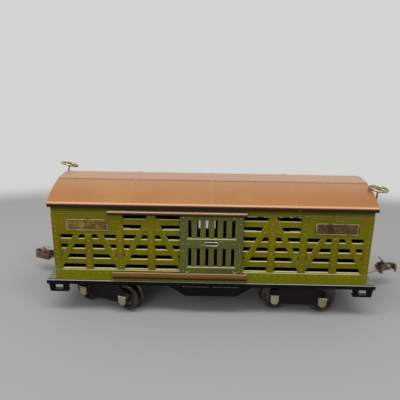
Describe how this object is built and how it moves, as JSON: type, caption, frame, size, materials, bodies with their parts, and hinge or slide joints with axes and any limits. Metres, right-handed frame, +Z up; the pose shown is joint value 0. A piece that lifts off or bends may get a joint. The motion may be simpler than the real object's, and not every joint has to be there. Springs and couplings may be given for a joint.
{
  "type": "model railway stock car",
  "caption": "Tinplate slatted stock car for a model railway, with sliding doors, arched roof, hand brakes, swivelling trucks and latch couplers.",
  "frame": {"origin": "centre of the car at the level of the rail contact of the wheel flanges", "axes": "+X along the car, +Y across it towards the far side, +Z up"},
  "size_m": [0.3808, 0.0963, 0.1251],
  "materials": {
    "black_enamel": "gloss enamel, worn at the edges",
    "green_enamel": "gloss enamel, olive green, worn at the edges",
    "door_enamel": "satin enamel, dull green",
    "roof_enamel": "gloss enamel, terracotta",
    "guide_enamel": "gloss enamel, brown",
    "nickel_plate": "nickel plate, dulled",
    "brake_brass": "plain brass, dulled",
    "copper_plate": "bare plate, tarnished",
    "wheel_steel": "turned steel, tarnished",
    "coupler_steel": "plated steel, tarnished"
  },
  "bodies": {
    "car_body": {"underframe": "black_enamel", "roof": "roof_enamel", "side_skirt_near": "black_enamel", "side_skirt_far": "black_enamel", "corner_step_near_left": "black_enamel", "corner_step_near_right": "black_enamel", "corner_step_far_left": "black_enamel", "corner_step_far_right": "black_enamel", "side_wall_near": "green_enamel", "side_wall_far": "green_enamel", "end_wall_left": "green_enamel", "end_wall_right": "green_enamel", "upper_guide_near": "guide_enamel", "upper_guide_far": "guide_enamel", "lower_guide_near": "guide_enamel", "lower_guide_far": "guide_enamel", "name_plate_near_left": "copper_plate", "name_plate_near_right": "copper_plate", "name_plate_far_left": "copper_plate", "name_plate_far_right": "copper_plate", "brake_staff_left": "brake_brass", "brake_staff_right": "brake_brass", "staff_bracket_left": "brake_brass", "staff_bracket_right": "brake_brass", "king_pin_left": "coupler_steel", "king_pin_right": "coupler_steel", "king_washer_left": "wheel_steel", "king_washer_right": "wheel_steel"},
    "sliding_door_near": {"door_near": "door_enamel", "door_handle_near": "nickel_plate"},
    "sliding_door_far": {"door_far": "door_enamel", "door_handle_far": "nickel_plate"},
    "hand_wheel_left": {"brake_wheel_left": "brake_brass"},
    "hand_wheel_right": {"brake_wheel_right": "brake_brass"},
    "truck_left": {"truck_frame_left": "black_enamel", "journal_boxes_left": "nickel_plate", "coupler_rivet_left": "coupler_steel"},
    "wheelset_left_inner": {"axle_left_inner": "wheel_steel", "wheel_left_inner_a": "wheel_steel", "wheel_left_inner_b": "wheel_steel"},
    "wheelset_left_outer": {"axle_left_outer": "wheel_steel", "wheel_left_outer_a": "wheel_steel", "wheel_left_outer_b": "wheel_steel"},
    "coupler_arm_left": {"coupler_left": "coupler_steel", "latch_pin_left": "coupler_steel"},
    "coupler_latch_left": {"latch_left": "coupler_steel"},
    "truck_right": {"truck_frame_right": "black_enamel", "journal_boxes_right": "nickel_plate", "coupler_rivet_right": "coupler_steel"},
    "wheelset_right_inner": {"axle_right_inner": "wheel_steel", "wheel_right_inner_a": "wheel_steel", "wheel_right_inner_b": "wheel_steel"},
    "wheelset_right_outer": {"axle_right_outer": "wheel_steel", "wheel_right_outer_a": "wheel_steel", "wheel_right_outer_b": "wheel_steel"},
    "coupler_arm_right": {"coupler_right": "coupler_steel", "latch_pin_right": "coupler_steel"},
    "coupler_latch_right": {"latch_right": "coupler_steel"}
  },
  "joints": [
    {"name": "door_slide_near", "type": "slide", "parent": "car_body", "child": "sliding_door_near", "axis": [-1, 0, 0], "range_m": [0, 0.059]},
    {"name": "door_slide_far", "type": "slide", "parent": "car_body", "child": "sliding_door_far", "axis": [1, 0, 0], "range_m": [0, 0.059]},
    {"name": "brake_turn_left", "type": "hinge", "parent": "car_body", "child": "hand_wheel_left", "pos_m": [-0.13997, 0.02861, 0.1219], "axis": [0.2395, 0.1677, 0.9563], "continuous": true},
    {"name": "brake_turn_right", "type": "hinge", "parent": "car_body", "child": "hand_wheel_right", "pos_m": [0.14396, -0.02679, 0.1181], "axis": [0.083, -0.0479, 0.9954], "continuous": true},
    {"name": "truck_swivel_left", "type": "hinge", "parent": "car_body", "child": "truck_left", "pos_m": [-0.0835, 0, 0.0333], "axis": [0, 0, 1], "range_deg": [-7, 53]},
    {"name": "wheel_roll_left_inner", "type": "hinge", "parent": "truck_left", "child": "wheelset_left_inner", "pos_m": [-0.06389, -0.00832, 0.0143], "axis": [-0.3907, -0.9205, 0], "continuous": true},
    {"name": "wheel_roll_left_outer", "type": "hinge", "parent": "truck_left", "child": "wheelset_left_outer", "pos_m": [-0.10311, 0.00832, 0.0143], "axis": [-0.3907, -0.9205, 0], "continuous": true},
    {"name": "coupler_swing_left", "type": "hinge", "parent": "truck_left", "child": "coupler_arm_left", "pos_m": [-0.11388, 0.01289, 0.02], "axis": [0, 0, 1], "range_deg": [-32, 32]},
    {"name": "latch_lift_left", "type": "hinge", "parent": "coupler_arm_left", "child": "coupler_latch_left", "pos_m": [-0.17454, 0.03864, 0.02621], "axis": [0.3907, 0.9205, 0], "range_deg": [-38, 6]},
    {"name": "truck_swivel_right", "type": "hinge", "parent": "car_body", "child": "truck_right", "pos_m": [0.0835, 0, 0.0333], "axis": [0, 0, 1], "range_deg": [-25.3, 34.7]},
    {"name": "wheel_roll_right_inner", "type": "hinge", "parent": "truck_right", "child": "wheelset_right_inner", "pos_m": [0.06227, 0.00175, 0.0143], "axis": [0.0819, 0.9966, 0], "continuous": true},
    {"name": "wheel_roll_right_outer", "type": "hinge", "parent": "truck_right", "child": "wheelset_right_outer", "pos_m": [0.10473, -0.00175, 0.0143], "axis": [0.0819, 0.9966, 0], "continuous": true},
    {"name": "coupler_swing_right", "type": "hinge", "parent": "truck_right", "child": "coupler_arm_right", "pos_m": [0.11639, -0.0027, 0.02], "axis": [0, 0, 1], "range_deg": [-57, 7]},
    {"name": "latch_lift_right", "type": "hinge", "parent": "coupler_arm_right", "child": "coupler_latch_right", "pos_m": [0.1782, 0.02016, 0.02621], "axis": [0.3469, -0.9379, 0], "range_deg": [0, 44]}
  ]
}
